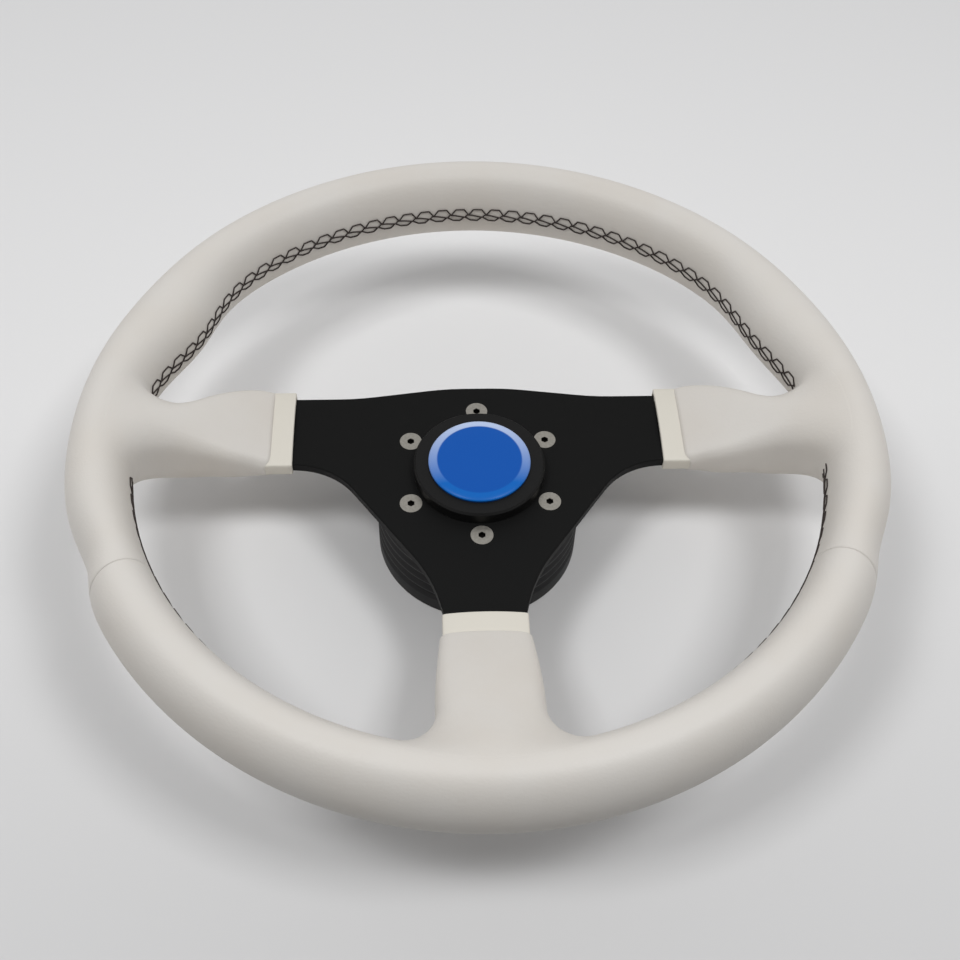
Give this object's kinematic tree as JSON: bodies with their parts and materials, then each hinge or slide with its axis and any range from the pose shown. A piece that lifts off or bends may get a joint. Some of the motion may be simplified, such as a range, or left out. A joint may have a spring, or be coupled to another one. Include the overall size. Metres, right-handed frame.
{
  "type": "boat steering wheel",
  "caption": "Three-spoke boat steering wheel with a dished, laced white leather rim, black aluminium spoke plate, ribbed hub collar and round blue centre cap",
  "frame": {"origin": "centre of the hub's foot, on the shaft axis, where the wheel stands on a bench", "axes": "Z along the shaft axis towards the driver, Y towards twelve o'clock with the wheel straight, X to the driver's right"},
  "size_m": [0.35, 0.35, 0.0888],
  "materials": {
    "cast_aluminium": "machined casting",
    "black_plastic": "matt moulded",
    "black_plate": "satin black anodised",
    "stainless": "turned stainless",
    "frame_steel": "plain drawn steel",
    "rivet_aluminium": "plain",
    "white_foam": "moulded polyurethane, satin",
    "white_leather": "smooth, low sheen",
    "brown_thread": "waxed thread",
    "cap_plastic": "fine matt",
    "blue_badge": "clear domed resin over blue",
    "black_rubber": "plain"
  },
  "bodies": {
    "wheel": {"hub_core": "cast_aluminium", "hub_sleeve": "black_plastic", "spoke_plate": "black_plate", "plate_screws": "stainless", "rim_armature": "frame_steel", "armature_rivets": "rivet_aluminium", "rim_core": "white_foam", "leather_upper": "white_leather", "leather_lower": "white_leather", "lacing_top": "brown_thread", "lacing_left": "brown_thread", "lacing_right": "brown_thread", "lacing_spoke_left": "brown_thread", "lacing_spoke_right": "brown_thread", "lacing_spoke_bottom": "brown_thread"},
    "cap": {"cap_body": "cap_plastic", "cap_badge": "blue_badge", "cap_o_ring": "black_rubber"}
  },
  "joints": [
    {"name": "cap_pull", "type": "slide", "parent": "wheel", "child": "cap", "axis": [0, 0, 1], "range_m": [0, 0.04]}
  ]
}
